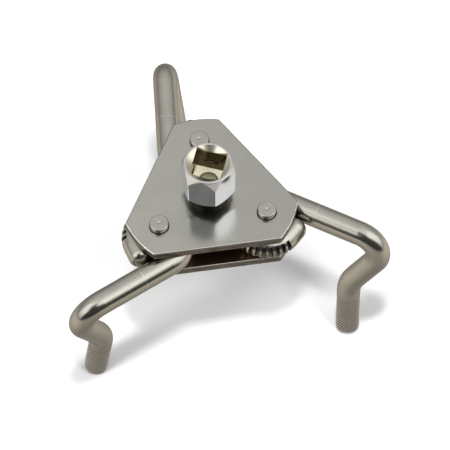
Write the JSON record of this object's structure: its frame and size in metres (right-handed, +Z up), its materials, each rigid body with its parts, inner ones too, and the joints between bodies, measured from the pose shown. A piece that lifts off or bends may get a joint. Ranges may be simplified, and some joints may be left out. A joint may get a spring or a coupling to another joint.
{
  "type": "oil filter wrench",
  "caption": "Three-jaw oil filter wrench: geared hook arms of bent rod between two plates close on a filter as the central square drive turns.",
  "frame": {"origin": "on the drive axis, on the underside of the lower plate, where the end of a filter comes to rest", "axes": "+Z up the drive axis towards the square socket; the pivot of arm_1 is on +Y, and arm_2 and arm_3 follow counter-clockwise seen from above"},
  "size_m": [0.1345, 0.1246, 0.0953],
  "materials": {
    "plate_steel": "satin nickel plate over stamped steel",
    "pin_steel": "satin nickel plate, rounded ends",
    "sleeve_steel": "turned steel tube",
    "rod_steel": "satin nickel plate over bent rod, knurled jaws",
    "spindle_steel": "plated, machined teeth",
    "socket_chrome": "bright chrome plate"
  },
  "bodies": {
    "housing": {"bottom_plate": "plate_steel", "top_plate": "plate_steel", "pivot_pin_1": "pin_steel", "pivot_pin_2": "pin_steel", "pivot_pin_3": "pin_steel", "pivot_sleeve_1": "sleeve_steel", "pivot_sleeve_2": "sleeve_steel", "pivot_sleeve_3": "sleeve_steel"},
    "arm_1": {"arm_1": "rod_steel"},
    "arm_2": {"arm_2": "rod_steel"},
    "arm_3": {"arm_3": "rod_steel"},
    "drive": {"pinion_spindle": "spindle_steel", "drive_socket": "socket_chrome"}
  },
  "joints": [
    {"name": "arm_1_swing", "type": "hinge", "parent": "housing", "child": "arm_1", "pos_m": [0, 0.0255, 0.00915], "axis": [0, 0, 1], "range_deg": [-120, 20]},
    {"name": "arm_2_swing", "type": "hinge", "parent": "housing", "child": "arm_2", "pos_m": [-0.02208, -0.01275, 0.00915], "axis": [0, 0, 1], "range_deg": [-120, 20]},
    {"name": "arm_3_swing", "type": "hinge", "parent": "housing", "child": "arm_3", "pos_m": [0.02208, -0.01275, 0.00915], "axis": [0, 0, 1], "range_deg": [-120, 20]},
    {"name": "drive_spin", "type": "hinge", "parent": "housing", "child": "drive", "pos_m": [0, 0, 0.00915], "axis": [0, 0, 1], "range_deg": [-28.53, 170.2]}
  ],
  "couplings": [
    {"joint": "arm_2_swing", "follows": "arm_1_swing", "ratio": 1},
    {"joint": "arm_3_swing", "follows": "arm_1_swing", "ratio": 1},
    {"joint": "drive_spin", "follows": "arm_1_swing", "ratio": -1.4167}
  ]
}
